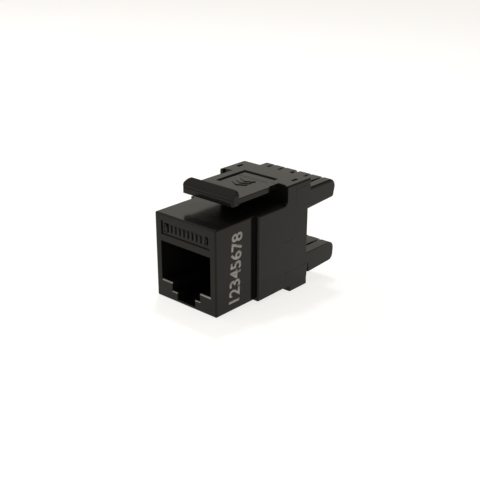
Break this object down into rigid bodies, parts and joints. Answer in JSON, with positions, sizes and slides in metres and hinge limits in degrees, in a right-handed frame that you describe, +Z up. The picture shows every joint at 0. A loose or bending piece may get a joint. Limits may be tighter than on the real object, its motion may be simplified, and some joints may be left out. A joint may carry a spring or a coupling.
{
  "type": "keystone jack",
  "caption": "Snap-in keystone socket for a modular network plug, with a sprung latch on top, sprung contact wires inside and rear banks of slotted fingers for punched-down wires.",
  "frame": {"origin": "centre of the port's mouth, in the plane of the front face", "axes": "-Y out of the port towards the plug, +Z up towards the latch, +X to the right across the port seen from the front"},
  "size_m": [0.0166, 0.0323, 0.0222],
  "materials": {
    "shell_black": "satin moulded black plastic",
    "insert_black": "matte moulded black plastic",
    "board_green": "solder-masked glass laminate",
    "contact_gold": "gold-plated phosphor bronze wire",
    "blade_tin": "tin-plated phosphor bronze strip"
  },
  "bodies": {
    "housing": {"front_housing": "shell_black", "rear_block": "shell_black", "contact_carrier": "insert_black", "circuit_board": "board_green", "contact_lead_1": "contact_gold", "contact_lead_2": "contact_gold", "contact_lead_3": "contact_gold", "contact_lead_4": "contact_gold", "contact_lead_5": "contact_gold", "contact_lead_6": "contact_gold", "contact_lead_7": "contact_gold", "contact_lead_8": "contact_gold", "upper_blade_1": "blade_tin", "lower_blade_1": "blade_tin", "upper_blade_2": "blade_tin", "lower_blade_2": "blade_tin", "upper_blade_3": "blade_tin", "lower_blade_3": "blade_tin", "upper_blade_4": "blade_tin", "lower_blade_4": "blade_tin"},
    "latch": {"latch_arm": "shell_black"},
    "contact_1": {"contact_beam_1": "contact_gold"},
    "contact_2": {"contact_beam_2": "contact_gold"},
    "contact_3": {"contact_beam_3": "contact_gold"},
    "contact_4": {"contact_beam_4": "contact_gold"},
    "contact_5": {"contact_beam_5": "contact_gold"},
    "contact_6": {"contact_beam_6": "contact_gold"},
    "contact_7": {"contact_beam_7": "contact_gold"},
    "contact_8": {"contact_beam_8": "contact_gold"}
  },
  "joints": [
    {"name": "latch_flex", "type": "hinge", "parent": "housing", "child": "latch", "pos_m": [0, 0.0173, 0.0119], "axis": [1, 0, 0], "range_deg": [0, 10], "stiffness_Nm_per_rad": 0.55},
    {"name": "contact_1_flex", "type": "hinge", "parent": "housing", "child": "contact_1", "pos_m": [-0.00356, 0.00336, 0.00413], "axis": [1, 0, 0], "range_deg": [0, 12], "stiffness_Nm_per_rad": 0.05},
    {"name": "contact_2_flex", "type": "hinge", "parent": "housing", "child": "contact_2", "pos_m": [-0.00254, 0.00336, 0.00413], "axis": [1, 0, 0], "range_deg": [0, 12], "stiffness_Nm_per_rad": 0.05},
    {"name": "contact_3_flex", "type": "hinge", "parent": "housing", "child": "contact_3", "pos_m": [-0.00152, 0.00336, 0.00413], "axis": [1, 0, 0], "range_deg": [0, 12], "stiffness_Nm_per_rad": 0.05},
    {"name": "contact_4_flex", "type": "hinge", "parent": "housing", "child": "contact_4", "pos_m": [-0.00051, 0.00336, 0.00413], "axis": [1, 0, 0], "range_deg": [0, 12], "stiffness_Nm_per_rad": 0.05},
    {"name": "contact_5_flex", "type": "hinge", "parent": "housing", "child": "contact_5", "pos_m": [0.00051, 0.00336, 0.00413], "axis": [1, 0, 0], "range_deg": [0, 12], "stiffness_Nm_per_rad": 0.05},
    {"name": "contact_6_flex", "type": "hinge", "parent": "housing", "child": "contact_6", "pos_m": [0.00152, 0.00336, 0.00413], "axis": [1, 0, 0], "range_deg": [0, 12], "stiffness_Nm_per_rad": 0.05},
    {"name": "contact_7_flex", "type": "hinge", "parent": "housing", "child": "contact_7", "pos_m": [0.00254, 0.00336, 0.00413], "axis": [1, 0, 0], "range_deg": [0, 12], "stiffness_Nm_per_rad": 0.05},
    {"name": "contact_8_flex", "type": "hinge", "parent": "housing", "child": "contact_8", "pos_m": [0.00356, 0.00336, 0.00413], "axis": [1, 0, 0], "range_deg": [0, 12], "stiffness_Nm_per_rad": 0.05}
  ]
}
